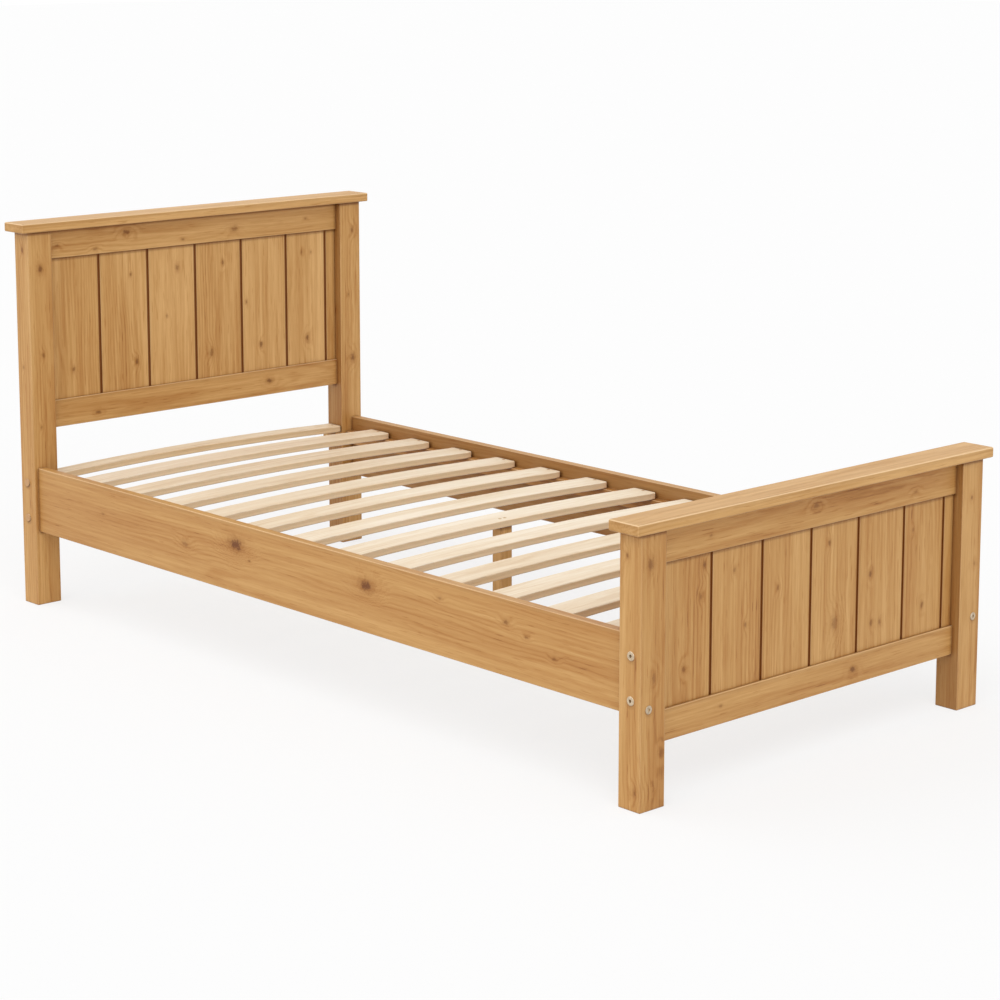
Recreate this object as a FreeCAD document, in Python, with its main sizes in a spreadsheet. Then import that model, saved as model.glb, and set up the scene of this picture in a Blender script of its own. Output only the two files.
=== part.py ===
import FreeCAD, Part
import math
import operator
import os
import Sketcher
from FreeCAD import Placement, Rotation, Vector

# A single panel bed in solid pine. Millimetres.
# X runs along the bed, from the headboard at -X to the footboard at +X.
# Y runs across it: the left side rail is at -Y. Z is up, from the floor.
# The origin is on the floor under the middle of the bed.

os.makedirs("parts", exist_ok=True)
doc = FreeCAD.newDocument("PanelBed")

# ---------------------------------------------------------------- sizes

DRIVING_SIZES = [
    # the mattress, and the room left around it
    ("mattress_length", 1900), ("mattress_width", 900),
    ("mattress_side_gap", 9), ("mattress_end_gap", 2.5),
    # posts
    ("post_deep", 55), ("post_wide", 64), ("post_round", 2),
    ("head_high", 895), ("foot_high", 535),
    # caps
    ("cap_thick", 21), ("cap_over_end", 20), ("cap_over_face", 10), ("cap_round", 3),
    # rails of the two ends
    ("end_rail_thick", 21), ("top_rail_high", 67), ("rail_round", 1.5),
    ("head_low_rail_high", 64), ("head_low_rail_under", 411),
    ("foot_low_rail_high", 60), ("foot_low_rail_under", 115),
    # boards of the two panels: the first and the last two are cut to these widths
    ("first_board_cover", 142.3), ("next_to_last_board_cover", 124.3),
    ("last_board_cover", 31), ("board_thick", 9), ("board_reveal", 6), ("board_chamfer", 1),
    # tongues and slots of the panels
    ("tongue_thick", 3), ("tongue_engage", 5), ("panel_slot_depth", 8),
    ("panel_slot_room", 1), ("panel_fit", 0.2),
    # side rails
    ("side_rail_thick", 21), ("side_rail_high", 150), ("side_rail_under", 175),
    ("side_rail_inset", 10), ("side_rail_round", 2),
    # ledgers inside the side rails
    ("ledger_thick", 20), ("ledger_high", 30), ("ledger_end_gap", 2), ("ledger_round", 1),
    # slats
    ("slat_drop", 20), ("slat_wide", 70), ("slat_thick", 15), ("slat_bow", 8.5),
    ("slat_seat", 20), ("slat_side_gap", 5), ("slat_foot_gap", 45),
    ("slat_corner_round", 6), ("slat_round", 2),
    # the slat at the head posts, and the cleats that carry it
    ("head_slat_wide", 50), ("head_slat_end_gap", 1), ("cleat_thick", 20), ("cleat_high", 25),
    # the middle leg
    ("leg_side", 30), ("leg_forward", 15), ("leg_seat_gap", 0.1), ("leg_round", 1.5),
    # wooden dowels
    ("dowel_across", 8), ("dowel_long", 36), ("dowel_bevel", 0.8), ("dowel_end_room", 1),
    ("dowel_from_edge", 20), ("low_dowel_from_edge", 10),
    ("cap_dowel_long", 28), ("cap_dowel_in_cap", 12),
    # cams in the posts
    ("cam_across", 15), ("cam_long", 27), ("cam_flange_across", 17.5),
    ("cam_flange_thick", 1.2), ("cam_rim", 0.8), ("cam_socket", 6), ("cam_socket_deep", 5),
    ("cam_from_rail", 30), ("cam_upper_above_rail", 113), ("cam_lower_above_rail", 30),
    # the covers on the cams of the head posts
    ("cover_across", 17.5), ("cover_thick", 1.5), ("cover_bevel", 0.6),
    ("cover_stem_across", 5), ("cover_stem_long", 4),
    # the bolts that the cams pull on
    ("cam_bolt_across", 6), ("cam_bolt_head_across", 8), ("cam_bolt_head_long", 4),
    ("cam_bolt_neck_across", 5), ("cam_bolt_neck_long", 5), ("cam_bolt_grip", 12),
    # corner bolts
    ("corner_bolt_across", 6), ("corner_bolt_long", 95), ("corner_bolt_above_rail", 15),
    ("bolt_head_across", 16), ("bolt_head_thick", 3), ("bolt_head_proud", 1.2),
    ("bolt_head_bevel", 0.5),
    ("bolt_socket", 6), ("bolt_socket_deep", 2.2), ("bolt_tip_bevel", 1), ("bolt_tip_room", 3),
    # barrel nuts: the wood left behind one, and how far it lies under the rail's inner face
    ("barrel_across", 10), ("barrel_bevel", 0.5), ("barrel_from_end", 30),
    ("barrel_backing", 6.5), ("barrel_deeper", 0.5),
    # wood screws
    ("screw_across", 4), ("screw_head_across", 8), ("screw_point_long", 5),
    ("screw_recess_long", 4), ("screw_recess_wide", 1), ("screw_recess_deep", 1.6),
    ("ledger_screw_long", 35), ("slat_screw_long", 30), ("leg_screw_long", 50),
    ("cleat_screw_spread", 25), ("leg_screw_spread", 14),
    # running room round every fitting
    ("hole_room", 0.1),
]
BOARD_COUNT = 7
SLAT_COUNT = 13
LEG_SLAT = 8
SLATS_PER_LEDGER_SCREW = 2

sheet = doc.addObject("Spreadsheet::Sheet", "Sizes")
for row, (alias, millimetres) in enumerate(DRIVING_SIZES, start=1):
    sheet.set("A%d" % row, alias)
    sheet.set("B%d" % row, str(millimetres))
    sheet.setAlias("B%d" % row, alias)
doc.recompute()


class Size:
    """A length that keeps its number together with the formula that gives it."""

    def __init__(self, number, formula):
        self.number = number
        self.formula = formula

    def __add__(self, other):
        return combined(self, "+", other)

    def __radd__(self, other):
        return combined(other, "+", self)

    def __sub__(self, other):
        return combined(self, "-", other)

    def __rsub__(self, other):
        return combined(other, "-", self)

    def __mul__(self, other):
        return combined(self, "*", other)

    def __rmul__(self, other):
        return combined(other, "*", self)

    def __truediv__(self, other):
        return combined(self, "/", other)

    def __neg__(self):
        return combined(-1, "*", self)


SIGNS = {"+": operator.add, "-": operator.sub, "*": operator.mul, "/": operator.truediv}


def number_of(term):
    return term.number if isinstance(term, Size) else term


def formula_of(term):
    return term.formula if isinstance(term, Size) else repr(term)


def combined(left, sign, right):
    number = SIGNS[sign](number_of(left), number_of(right))
    return Size(number, "(%s %s %s)" % (formula_of(left), sign, formula_of(right)))


def size(alias):
    return Size(float(sheet.get(alias)), "Sizes." + alias)


def drive(thing, target, value):
    """Ties a property or a constraint of an object to the formula of a size."""
    thing.setExpression(target, formula_of(value))


# ---------------------------------------------------------------- sketches

PLANE_OF_FACE = {"X": "YZ_Plane", "Y": "XZ_Plane", "Z": "XY_Plane"}
AXES = {"X": Vector(1, 0, 0), "Y": Vector(0, 1, 0), "Z": Vector(0, 0, 1)}
ROOT, ROOT_POINT, (ACROSS_AXIS, UP_AXIS) = -1, 1, range(-1, -3, -1)
START, END, CENTRE = range(1, 4)


def sketch_on(body, axis, offset=0):
    """A sketch square to an axis. The plane of X and Z looks along -Y, so its offset turns."""
    sketch = body.newObject("Sketcher::SketchObject", body.Label + "_sketch")
    role = PLANE_OF_FACE[axis]
    plane = [item for item in body.Origin.OriginFeatures if item.Role == role][0]
    sketch.AttachmentSupport = [(plane, "")]
    sketch.MapMode = "FlatFace"
    if number_of(offset):
        drive(sketch, "AttachmentOffset.Base.z", -offset if axis == "Y" else offset)
    return sketch


def constrain(sketch, kind, *where):
    return sketch.addConstraint(Sketcher.Constraint(kind, *where))


def measure(sketch, kind, *where_and_value):
    *where, value = where_and_value
    index = constrain(sketch, kind, *where, number_of(value))
    drive(sketch, "Constraints[%d]" % index, value)


def pin(sketch, item, end, across, up):
    """Holds a point at its two distances from the sketch's origin."""
    if number_of(across):
        measure(sketch, "DistanceX", ROOT, ROOT_POINT, item, end, across)
    else:
        constrain(sketch, "PointOnObject", item, end, UP_AXIS)
    if number_of(up):
        measure(sketch, "DistanceY", ROOT, ROOT_POINT, item, end, up)
    else:
        constrain(sketch, "PointOnObject", item, end, ACROSS_AXIS)


def loop_of_lines(sketch, points):
    """Closed straight lines through points, with their ends joined."""
    flat = [Vector(number_of(across), number_of(up), 0) for across, up in points]
    lines = []
    for here, after in zip(flat, flat[1:] + flat[:1]):
        lines.append(sketch.addGeometry(Part.LineSegment(here, after), False))
    for line, following in zip(lines, lines[1:] + lines[:1]):
        constrain(sketch, "Coincident", line, END, following, START)
    return lines


def square_up(sketch, lines):
    for line in lines[0::2]:
        constrain(sketch, "Horizontal", line)
    for line in lines[1::2]:
        constrain(sketch, "Vertical", line)


def rectangle(sketch, left, low, right, high):
    lines = loop_of_lines(sketch, [(left, low), (right, low), (right, high), (left, high)])
    square_up(sketch, lines)
    pin(sketch, lines[0], START, left, low)
    measure(sketch, "DistanceX", lines[0], START, lines[0], END, right - left)
    measure(sketch, "DistanceY", lines[1], START, lines[1], END, high - low)


def centred_rectangle(sketch, wide, high):
    left, low = -wide / 2, -high / 2
    lines = loop_of_lines(sketch, [(left, low), (-left, low), (-left, -low), (left, -low)])
    square_up(sketch, lines)
    constrain(sketch, "Symmetric", lines[0], START, lines[2], START, ROOT, ROOT_POINT)
    measure(sketch, "DistanceX", lines[0], START, lines[0], END, wide)
    measure(sketch, "DistanceY", lines[1], START, lines[1], END, high)


def hexagon(sketch, across_flats):
    """A hexagon round the origin, with one corner on the sketch's level axis."""
    corner_circle = across_flats * (2 / math.sqrt(3))
    radius = number_of(corner_circle) / 2
    turns = [math.radians(60 * corner) for corner in range(6)]
    lines = loop_of_lines(sketch, [(radius * math.cos(a), radius * math.sin(a)) for a in turns])
    ring = sketch.addGeometry(Part.Circle(Vector(0, 0, 0), AXES["Z"], radius), True)
    constrain(sketch, "Coincident", ring, CENTRE, ROOT, ROOT_POINT)
    measure(sketch, "Diameter", ring, corner_circle)
    for line in lines:
        constrain(sketch, "PointOnObject", line, START, ring)
    for line in lines[1:-1]:
        constrain(sketch, "Equal", lines[0], line)
    constrain(sketch, "PointOnObject", lines[0], START, ACROSS_AXIS)


def circles(sketch, centres, across):
    first = None
    for u, v in centres:
        circle = Part.Circle(Vector(number_of(u), number_of(v), 0), AXES["Z"], number_of(across) / 2)
        item = sketch.addGeometry(circle, False)
        pin(sketch, item, CENTRE, u, v)
        if first is None:
            first = item
            measure(sketch, "Diameter", item, across)
        else:
            constrain(sketch, "Equal", first, item)


# ---------------------------------------------------------------- features

def new_body(label):
    body = doc.addObject("PartDesign::Body", label)
    body.Label = label
    return body


def require_valid(thing):
    if "Invalid" in thing.State or "Error" in thing.State:
        raise RuntimeError("%s did not build: %s" % (thing.Label, thing.getStatusString()))


def pad(body, sketch, length):
    feature = body.newObject("PartDesign::Pad", body.Label + "_pad")
    feature.Profile = sketch
    drive(feature, "Length", length)
    doc.recompute()
    require_valid(feature)


def pocket(body, sketch, depth, along_normal):
    before = body.Tip.Shape.Volume
    feature = body.newObject("PartDesign::Pocket", body.Label + "_cut")
    feature.Profile = sketch
    feature.Reversed = along_normal
    drive(feature, "Length", depth)
    doc.recompute()
    require_valid(feature)
    if not feature.Shape.Volume < before:
        raise RuntimeError(body.Label + ": a cut took nothing away")


def dress(body, kind, wanted, amount):
    """Rounds or bevels the edges that a test picks from the body as it stands."""
    base = body.Tip
    names = ["Edge%d" % (i + 1) for i, edge in enumerate(base.Shape.Edges) if wanted(edge)]
    if not names:
        raise RuntimeError(body.Label + ": no edge to dress")
    feature = body.newObject("PartDesign::" + kind, body.Label + "_edges")
    feature.Base = (base, names)
    drive(feature, "Radius" if kind == "Fillet" else "Size", amount)
    doc.recompute()
    require_valid(feature)


def runs_along(edge, axis):
    if not isinstance(edge.Curve, Part.Line):
        return False
    return abs(edge.Curve.Direction.dot(AXES[axis])) > 0.999


def lies_at(edge, axis, place):
    """True for an edge all of whose ends lie at one place along an axis of its body."""
    return all(abs(v.Point.dot(AXES[axis]) - number_of(place)) < 1e-4 for v in edge.Vertexes)


def turned(label, outline):
    """A turned piece: an outline of (radius, height) points, revolved about Z."""
    body = new_body(label)
    sketch = sketch_on(body, "Y")
    for line, (radius, height) in zip(loop_of_lines(sketch, outline), outline):
        pin(sketch, line, START, radius, height)
    feature = body.newObject("PartDesign::Revolution", label + "_turning")
    feature.Profile = sketch
    feature.ReferenceAxis = (sketch, ["V_Axis"])
    feature.Angle = 360
    doc.recompute()
    return body


# ---------------------------------------------------------------- timber

class Timber:
    """A straight piece of wood. Its body starts at its lowest corner, and it is drilled
    and slotted at points given in the bed's own frame."""

    def __init__(self, label, corner, extent):
        self.corner = dict(zip("XYZ", corner))
        self.extent = dict(zip("XYZ", extent))
        self.body = new_body(label)
        self.make_blank()
        for axis, letter in zip("XYZ", "xyz"):
            drive(self.body, "Placement.Base." + letter, self.corner[axis])
        SUB_PARTS.append(self.body)

    def make_blank(self):
        sketch = sketch_on(self.body, "Z")
        rectangle(sketch, 0, 0, self.extent["X"], self.extent["Y"])
        pad(self.body, sketch, self.extent["Z"])

    def inside(self, axis, place):
        """A place along an axis, measured from the body's own corner."""
        return place - self.corner[axis]

    def face_sketch(self, face):
        way, axis = face
        return sketch_on(self.body, axis, self.extent[axis] if way == "+" else 0)

    def cut(self, face, sketch, depth):
        way, axis = face
        looks_along_axis = axis != "Y"
        pocket(self.body, sketch, depth, (way == "-") == looks_along_axis)

    def drill(self, face, points, across, depth):
        """Round holes of one size, from a face. Points leave out the face's own axis."""
        first, second = [axis for axis in "XYZ" if axis != face[1]]
        sketch = self.face_sketch(face)
        own = [(self.inside(first, u), self.inside(second, v)) for u, v in points]
        circles(sketch, own, across)
        self.cut(face, sketch, depth)

    def slot(self, face, low, high, depth):
        """A square-edged slot between two corners, from a face."""
        first, second = [axis for axis in "XYZ" if axis != face[1]]
        sketch = self.face_sketch(face)
        left, right = self.inside(first, low[0]), self.inside(first, high[0])
        bottom, top = self.inside(second, low[1]), self.inside(second, high[1])
        rectangle(sketch, left, bottom, right, top)
        self.cut(face, sketch, depth)

    def screw_holes(self, face, points, length):
        """Clearance holes with a countersink on the face the screws go in from."""
        self.drill(face, points, screw_hole, length)
        way, axis = face
        surface = self.extent[axis] if way == "+" else 0
        sink = (screw_head_hole - screw_hole) / 2
        dress(self.body, "Chamfer", lambda edge: is_screw_mouth(edge, axis, surface), sink)

    def round_edges(self, axes, radius, keep=None):
        """Rounds the straight edges along some axes, except those that a test keeps sharp."""
        def wanted(edge):
            if keep is not None and keep(edge):
                return False
            return any(runs_along(edge, axis) for axis in axes)
        dress(self.body, "Fillet", wanted, radius)


def is_screw_mouth(edge, axis, surface):
    if not isinstance(edge.Curve, Part.Circle):
        return False
    same_size = abs(edge.Curve.Radius - number_of(screw_hole) / 2) < 1e-4
    return same_size and lies_at(edge, axis, surface)


def lower(side, near, far):
    """The lower bound of what lies between two distances from the middle, on one side."""
    return near if side > 0 else -far


SUB_PARTS = []
HEAD, FOOT = -1, 1
LEFT, RIGHT = -1, 1
SIDE_NAMES = {LEFT: "left", RIGHT: "right"}
OUTWARD_Y = {LEFT: "-Y", RIGHT: "+Y"}
INWARD_Y = {LEFT: "+Y", RIGHT: "-Y"}
OUTWARD_X = {HEAD: "-X", FOOT: "+X"}
INWARD_X = {HEAD: "+X", FOOT: "-X"}

# ---------------------------------------------------------------- places worked out once

post_deep, post_wide = size("post_deep"), size("post_wide")
half_inner_length = size("mattress_length") / 2 + size("mattress_end_gap")
post_middle_x = half_inner_length + post_deep / 2
post_outer_x = half_inner_length + post_deep
rail_inner_y = size("mattress_width") / 2 + size("mattress_side_gap")
rail_outer_y = rail_inner_y + size("side_rail_thick")
rail_middle_y = rail_inner_y + size("side_rail_thick") / 2
post_outer_y = rail_outer_y + size("side_rail_inset")
post_inner_y = post_outer_y - post_wide
post_middle_y = post_outer_y - post_wide / 2

side_rail_under = size("side_rail_under")
side_rail_top = side_rail_under + size("side_rail_high")
slat_end_top = side_rail_top - size("slat_drop")
ledger_top = slat_end_top - size("slat_thick")
ledger_under = ledger_top - size("ledger_high")
ledger_inner_y = rail_inner_y - size("ledger_thick")
slat_end_y = rail_inner_y - size("slat_side_gap")
head_slat_end_y = post_inner_y - size("head_slat_end_gap")
cleat_inner_y = post_inner_y - size("cleat_thick")
cleat_under = ledger_top - size("cleat_high")

hole_room = size("hole_room")
screw_hole = size("screw_across") + 2 * hole_room
screw_head_hole = size("screw_head_across") + 2 * hole_room
dowel_hole = size("dowel_across") + 2 * hole_room
cam_hole = size("cam_across") + 2 * hole_room
cam_bolt_hole = size("cam_bolt_across") + 2 * hole_room
cam_head_hole = size("cam_bolt_head_across") + 2 * hole_room
corner_bolt_hole = size("corner_bolt_across") + 2 * hole_room
bolt_head_hole = size("bolt_head_across") + 2 * hole_room
barrel_hole = size("barrel_across") + 2 * hole_room

cam_x = half_inner_length + size("cam_from_rail")
cam_heights = [side_rail_under + size("cam_lower_above_rail"),
               side_rail_under + size("cam_upper_above_rail")]
corner_bolt_z = side_rail_under + size("corner_bolt_above_rail")
barrel_x = half_inner_length - size("barrel_from_end")
barrel_long = size("side_rail_thick") - size("barrel_backing") - size("barrel_deeper")
bolt_head_sunk = size("bolt_head_thick") - size("bolt_head_proud")
corner_bolt_tip_x = post_outer_x - bolt_head_sunk - size("corner_bolt_long")
cam_face_y = post_outer_y + size("cam_flange_thick")

slat_pitch = (2 * half_inner_length - size("slat_foot_gap")) / (SLAT_COUNT - 1)


def slat_front_x(number):
    """The foot side of a slat. The first one lies flush with the faces of the head posts."""
    return slat_pitch * (number - 1) - half_inner_length


def slat_width(number):
    return size("head_slat_wide") if number == 1 else size("slat_wide")


def slat_middle_x(number):
    return slat_front_x(number) - slat_width(number) / 2


def slat_screw_y(number):
    """Over the middle of what carries the slat: a cleat for the first, a ledger for the rest."""
    if number == 1:
        return (cleat_inner_y + head_slat_end_y) / 2
    return (ledger_inner_y + slat_end_y) / 2


# ---------------------------------------------------------------- headboard and footboard

class EndFrame:
    """The heights that tell the headboard from the footboard."""

    def __init__(self, name, end):
        self.name = name
        self.end = end
        self.cap_under = size(name + "_high") - size("cap_thick")
        self.top_rail_under = self.cap_under - size("top_rail_high")
        self.low_rail_under = size(name + "_low_rail_under")
        self.low_rail_high = size(name + "_low_rail_high")
        self.low_rail_top = self.low_rail_under + self.low_rail_high
        self.slot_low = self.low_rail_top - size("panel_slot_depth")
        self.slot_high = self.top_rail_under + size("panel_slot_depth")
        self.middle_x = end * post_middle_x
        slot_half = size("board_thick") / 2 + size("panel_fit")
        self.slot_x = (self.middle_x - slot_half, self.middle_x + slot_half)
        self.top_dowels = [self.top_rail_under + size("dowel_from_edge"),
                           self.cap_under - size("dowel_from_edge")]
        self.low_dowels = [self.low_rail_under + size("low_dowel_from_edge"),
                           self.slot_low - size("low_dowel_from_edge")]


HEADBOARD = EndFrame("head", HEAD)
FOOTBOARD = EndFrame("foot", FOOT)


def make_post(frame, side):
    """A square post, drilled for its rails, cap, side rail and corner bolt."""
    end = frame.end
    corner = (lower(end, half_inner_length, post_outer_x),
              lower(side, post_inner_y, post_outer_y), 0)
    label = "%s_post_%s" % (frame.name, SIDE_NAMES[side])
    post = Timber(label, corner, (post_deep, post_wide, frame.cap_under))

    def keep(edge):
        return lies_at(edge, "Z", frame.cap_under)

    post.round_edges("XYZ", size("post_round"), keep)
    post.slot(INWARD_Y[side], (frame.slot_x[0], frame.slot_low),
              (frame.slot_x[1], frame.slot_high), size("panel_slot_depth"))
    dowel_points = [(frame.middle_x, height) for height in frame.top_dowels + frame.low_dowels]
    post.drill(INWARD_Y[side], dowel_points, dowel_hole,
               size("dowel_long") / 2 + size("dowel_end_room"))
    post.drill("+Z", [(frame.middle_x, side * post_middle_y)], dowel_hole,
               size("cap_dowel_long") - size("cap_dowel_in_cap") + size("dowel_end_room"))
    cam_points = [(end * cam_x, height) for height in cam_heights]
    post.drill(OUTWARD_Y[side], cam_points, cam_hole, size("cam_long") + hole_room)
    bolt_points = [(side * rail_middle_y, height) for height in cam_heights]
    post.drill(INWARD_X[end], bolt_points, cam_head_hole, size("cam_from_rail"))
    corner_point = [(side * rail_middle_y, corner_bolt_z)]
    post.drill(OUTWARD_X[end], corner_point, corner_bolt_hole, post_deep)
    post.drill(OUTWARD_X[end], corner_point, bolt_head_hole, bolt_head_sunk)
    if end == HEAD:
        drill_for_cleat(post, side)
    return post


def drill_for_cleat(post, side):
    """Pilot holes of the screws that hold a cleat on the inner face of a head post."""
    depth = size("ledger_screw_long") - size("cleat_thick") + hole_room
    post.drill(INWARD_Y[side], cleat_screw_points(), screw_hole, depth)


def make_cap(frame):
    """The board that covers a top rail and its two posts."""
    half_x = post_deep / 2 + size("cap_over_face")
    half_y = post_outer_y + size("cap_over_end")
    corner = (frame.middle_x - half_x, -half_y, frame.cap_under)
    cap = Timber(frame.name + "_cap", corner, (2 * half_x, 2 * half_y, size("cap_thick")))
    cap.round_edges("XYZ", size("cap_round"))
    cap.drill("-Z", cap_dowel_points(frame), dowel_hole,
              size("cap_dowel_in_cap") + size("dowel_end_room"))
    return cap


def cap_dowel_points(frame):
    return [(frame.middle_x, side * post_middle_y) for side in (LEFT, RIGHT)]


def make_end_rail(frame, name, under, high, slot_face, dowel_heights):
    """A rail between two posts, slotted for the boards and drilled for its dowels."""
    corner = (frame.middle_x - size("end_rail_thick") / 2, -post_inner_y, under)
    label = "%s_%s_rail" % (frame.name, name)
    rail = Timber(label, corner, (size("end_rail_thick"), 2 * post_inner_y, high))
    rail.round_edges("Y", size("rail_round"))
    rail.slot(slot_face, (frame.slot_x[0], -post_inner_y), (frame.slot_x[1], post_inner_y),
              size("panel_slot_depth"))
    for face in ("-Y", "+Y"):
        rail.drill(face, [(frame.middle_x, height) for height in dowel_heights], dowel_hole,
                   size("dowel_long") / 2 + size("dowel_end_room"))
    return rail


def joint_places():
    """Where board meets board across a panel. The boards between the first and the last two
    are equal, and share what those three leave."""
    first = size("first_board_cover") - post_inner_y
    last = post_inner_y - size("last_board_cover")
    last_but_one = last - size("next_to_last_board_cover")
    equal_boards = BOARD_COUNT - 3
    board_cover = (last_but_one - first) / equal_boards
    return [first + board_cover * step for step in range(equal_boards + 1)] + [last]


def make_board(frame, number, left_joint, right_joint):
    """One upright tongued board. None in place of a joint means that a post holds that edge."""
    edge_hold = size("panel_slot_depth") - size("panel_slot_room")
    half_reveal = size("board_reveal") / 2
    left = -post_inner_y - edge_hold if left_joint is None else left_joint + half_reveal
    right = post_inner_y + edge_hold if right_joint is None else right_joint - half_reveal
    thick, wide = size("board_thick"), right - left
    under = frame.low_rail_top - edge_hold
    high = frame.top_rail_under + edge_hold - under
    corner = (frame.middle_x - thick / 2, left, under)
    board = Timber("%s_board_%d" % (frame.name, number), corner, (thick, wide, high))

    def at_a_joint(edge):
        on_left = left_joint is not None and lies_at(edge, "Y", 0)
        on_right = right_joint is not None and lies_at(edge, "Y", wide)
        return runs_along(edge, "Z") and (on_left or on_right)

    dress(board.body, "Chamfer", at_a_joint, size("board_chamfer"))
    engage, tongue = size("tongue_engage"), size("tongue_thick")
    if left_joint is not None:
        sketch = sketch_on(board.body, "Z")
        groove = tongue + 2 * size("panel_fit")
        rectangle(sketch, (thick - groove) / 2, 0, (thick + groove) / 2,
                  engage + size("panel_slot_room"))
        pocket(board.body, sketch, high, True)
    if right_joint is not None:
        sketch = sketch_on(board.body, "Z")
        rectangle(sketch, (thick - tongue) / 2, wide, (thick + tongue) / 2,
                  wide + size("board_reveal") + engage)
        pad(board.body, sketch, high)
    return board


def make_end_frame(frame):
    for side in (LEFT, RIGHT):
        make_post(frame, side)
    make_cap(frame)
    make_end_rail(frame, "top", frame.top_rail_under, size("top_rail_high"), "-Z",
                  frame.top_dowels)
    make_end_rail(frame, "low", frame.low_rail_under, frame.low_rail_high, "+Z",
                  frame.low_dowels)
    edges = [None] + joint_places() + [None]
    for number, (left_joint, right_joint) in enumerate(zip(edges, edges[1:]), start=1):
        make_board(frame, number, left_joint, right_joint)


# ---------------------------------------------------------------- side rails and slats

def ledger_screw_places():
    """Along the bed, halfway between slats, so that they miss the slats' own screws."""
    slats = range(2, SLAT_COUNT, SLATS_PER_LEDGER_SCREW)
    return [slat_middle_x(number) + slat_pitch / 2 for number in slats]


def ledger_screw_z():
    return ledger_under + size("ledger_high") / 2


def make_side_rail(side):
    """A long rail, drilled at its ends for the cam bolts, corner bolts and barrel nuts."""
    corner = (-half_inner_length, lower(side, rail_inner_y, rail_outer_y), side_rail_under)
    extent = (2 * half_inner_length, size("side_rail_thick"), size("side_rail_high"))
    rail = Timber("side_rail_" + SIDE_NAMES[side], corner, extent)
    rail.round_edges("X", size("side_rail_round"))
    bolt_depth = half_inner_length - corner_bolt_tip_x + size("bolt_tip_room")
    barrel_depth = barrel_long + size("barrel_deeper")
    for end in (HEAD, FOOT):
        rail.drill(OUTWARD_X[end], [(side * rail_middle_y, height) for height in cam_heights],
                   cam_bolt_hole, size("cam_bolt_grip") + size("dowel_end_room"))
        rail.drill(OUTWARD_X[end], [(side * rail_middle_y, corner_bolt_z)], corner_bolt_hole,
                   bolt_depth)
    rail.drill(INWARD_Y[side], [(end * barrel_x, corner_bolt_z) for end in (HEAD, FOOT)],
               barrel_hole, barrel_depth)
    pilot_depth = size("ledger_screw_long") - size("ledger_thick") + hole_room
    pilots = [(place, ledger_screw_z()) for place in ledger_screw_places()]
    rail.drill(INWARD_Y[side], pilots, screw_hole, pilot_depth)
    return rail


def make_ledger(side):
    """The batten that is screwed inside a side rail and carries the slats."""
    half_long = half_inner_length - size("ledger_end_gap")
    corner = (-half_long, lower(side, ledger_inner_y, rail_inner_y), ledger_under)
    extent = (2 * half_long, size("ledger_thick"), size("ledger_high"))
    ledger = Timber("slat_ledger_" + SIDE_NAMES[side], corner, extent)
    inner_face = INWARD_Y[side]
    inner_place = size("ledger_thick") if inner_face == "+Y" else 0
    ledger.round_edges("X", size("ledger_round"), lambda edge: not lies_at(edge, "Y", inner_place))
    points = [(place, ledger_screw_z()) for place in ledger_screw_places()]
    ledger.screw_holes(inner_face, points, size("ledger_thick"))
    slats = range(2, SLAT_COUNT + 1)
    pilots = [(slat_middle_x(number), side * slat_screw_y(number)) for number in slats]
    pilot_depth = size("slat_screw_long") - size("slat_thick") + hole_room
    ledger.drill("+Z", pilots, screw_hole, pilot_depth)
    return ledger


def cleat_screw_points():
    half_spread = size("cleat_screw_spread") / 2
    height = cleat_under + size("cleat_high") / 2
    return [(slat_middle_x(1) - half_spread, height), (slat_middle_x(1) + half_spread, height)]


def make_cleat(side):
    """A short block on the inner face of a head post, under the end of the first slat."""
    corner = (slat_front_x(1) - size("head_slat_wide"), lower(side, cleat_inner_y, post_inner_y),
              cleat_under)
    extent = (size("head_slat_wide"), size("cleat_thick"), size("cleat_high"))
    cleat = Timber("head_cleat_" + SIDE_NAMES[side], corner, extent)
    cleat.screw_holes(INWARD_Y[side], cleat_screw_points(), size("cleat_thick"))
    pilot_depth = size("slat_screw_long") - size("slat_thick") + hole_room
    cleat.drill("+Z", [(slat_middle_x(1), side * slat_screw_y(1))], screw_hole, pilot_depth)
    return cleat


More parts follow.
